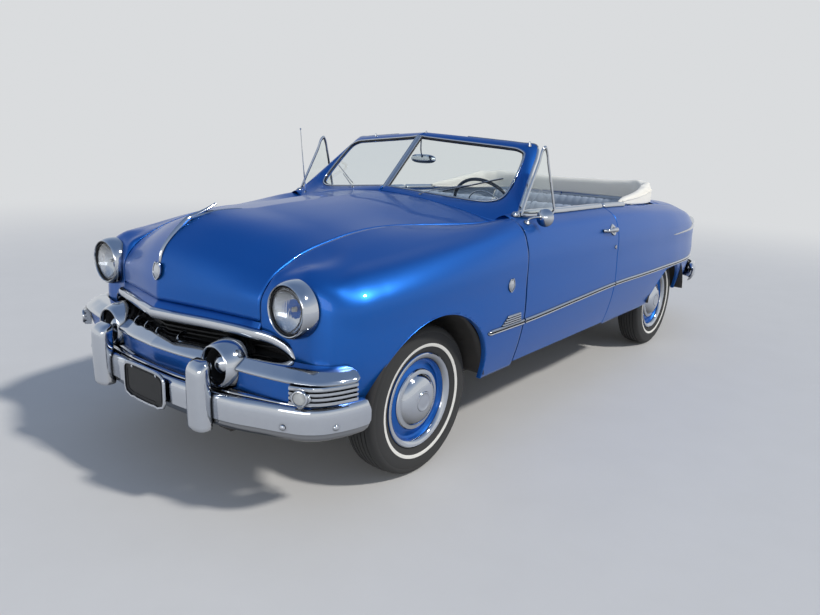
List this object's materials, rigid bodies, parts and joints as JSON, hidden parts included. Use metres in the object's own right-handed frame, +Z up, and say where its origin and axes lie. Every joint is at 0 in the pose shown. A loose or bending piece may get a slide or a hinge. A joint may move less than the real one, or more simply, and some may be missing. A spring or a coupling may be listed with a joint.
{
  "type": "two-door convertible car",
  "caption": "Full-size early 1950s two-door convertible car with opening doors, hood and trunk, steering front wheels and a folded soft top under its boot.",
  "frame": {"origin": "on the ground at the centre of the bounding box's bottom face", "axes": "+Z up, nose towards -Y, the driver's side (car's left) towards +X"},
  "size_m": [1.844, 5.011, 1.5013],
  "materials": {
    "body_blue": "metallic blue enamel, polished",
    "chrome": "bright plating",
    "under_black": "black chassis paint",
    "exhaust_steel": "dull steel",
    "tyre_rubber": "black rubber with a thin white ring",
    "cabin_paint": "gloss enamel",
    "seat_vinyl": "pleated vinyl with pale piping",
    "boot_vinyl": "cream vinyl cloth",
    "window_glass": "clear",
    "plate_black": "semi-gloss, blank",
    "lamp_red": "red lens",
    "wheel_black": "moulded rim with bright horn ring"
  },
  "bodies": {
    "body": {"antenna": "chrome", "cowl": "body_blue", "dashboard": "cabin_paint", "engine": "under_black", "exhaust": "exhaust_steel", "fender_left": "body_blue", "fender_right": "body_blue", "floor_pan": "under_black", "frame_rails": "under_black", "front_bumper": "chrome", "front_panel": "body_blue", "front_seat": "seat_vinyl", "front_suspension": "under_black", "fuel_tank": "under_black", "grille": "chrome", "headlamps": "chrome", "licence_plate": "plate_black", "quarter_left": "body_blue", "quarter_right": "body_blue", "quarter_trim": "seat_vinyl", "rear_axle": "under_black", "rear_bumper": "chrome", "rear_seat": "seat_vinyl", "side_mouldings": "chrome", "tail_lamps": "lamp_red", "top_boot": "boot_vinyl", "windshield_frame": "body_blue", "windshield_glass": "window_glass"},
    "door_left": {"door_left": "body_blue", "door_trim_left": "chrome"},
    "door_right": {"door_right": "body_blue", "door_trim_right": "chrome"},
    "hood": {"hood": "body_blue"},
    "trunk_lid": {"trunk_lid": "body_blue"},
    "steering_wheel": {"steering_wheel": "wheel_black"},
    "knuckle_left": {"knuckle_left": "under_black"},
    "knuckle_right": {"knuckle_right": "under_black"},
    "wheel_front_left": {"tyre_front_left": "tyre_rubber", "wheel_front_left": "body_blue"},
    "wheel_front_right": {"tyre_front_right": "tyre_rubber", "wheel_front_right": "body_blue"},
    "wheel_rear_left": {"tyre_rear_left": "tyre_rubber", "wheel_rear_left": "body_blue"},
    "wheel_rear_right": {"tyre_rear_right": "tyre_rubber", "wheel_rear_right": "body_blue"}
  },
  "joints": [
    {"name": "steer_left", "type": "hinge", "parent": "body", "child": "knuckle_left", "pos_m": [0.64, -1.6255, 0.343], "axis": [0, 0, 1], "range_deg": [-28, 28]},
    {"name": "spin_front_left", "type": "hinge", "parent": "knuckle_left", "child": "wheel_front_left", "pos_m": [0.711, -1.6255, 0.343], "axis": [1, 0, 0], "continuous": true},
    {"name": "spin_rear_left", "type": "hinge", "parent": "body", "child": "wheel_rear_left", "pos_m": [0.711, 1.2705, 0.343], "axis": [1, 0, 0], "continuous": true},
    {"name": "swing_door_left", "type": "hinge", "parent": "body", "child": "door_left", "pos_m": [0.905, -0.974, 0.75], "axis": [0, 0, -1], "range_deg": [0, 65]},
    {"name": "steer_right", "type": "hinge", "parent": "body", "child": "knuckle_right", "pos_m": [-0.64, -1.6255, 0.343], "axis": [0, 0, 1], "range_deg": [-28, 28]},
    {"name": "spin_front_right", "type": "hinge", "parent": "knuckle_right", "child": "wheel_front_right", "pos_m": [-0.711, -1.6255, 0.343], "axis": [1, 0, 0], "continuous": true},
    {"name": "spin_rear_right", "type": "hinge", "parent": "body", "child": "wheel_rear_right", "pos_m": [-0.711, 1.2705, 0.343], "axis": [1, 0, 0], "continuous": true},
    {"name": "swing_door_right", "type": "hinge", "parent": "body", "child": "door_right", "pos_m": [-0.905, -0.974, 0.75], "axis": [0, 0, 1], "range_deg": [0, 65]},
    {"name": "lift_hood", "type": "hinge", "parent": "body", "child": "hood", "pos_m": [0, -0.984, 1.16], "axis": [-1, 0, 0], "range_deg": [0, 45]},
    {"name": "lift_trunk_lid", "type": "hinge", "parent": "body", "child": "trunk_lid", "pos_m": [0, 1.26, 1.1], "axis": [1, 0, 0], "range_deg": [0, 60]},
    {"name": "turn_steering_wheel", "type": "hinge", "parent": "body", "child": "steering_wheel", "pos_m": [0.36, -0.535, 1.08], "axis": [0, 0.866, 0.5], "range_deg": [-602, 602]}
  ],
  "couplings": [
    {"joint": "steer_right", "follows": "steer_left", "ratio": 1},
    {"joint": "turn_steering_wheel", "follows": "steer_left", "ratio": 21.4}
  ]
}
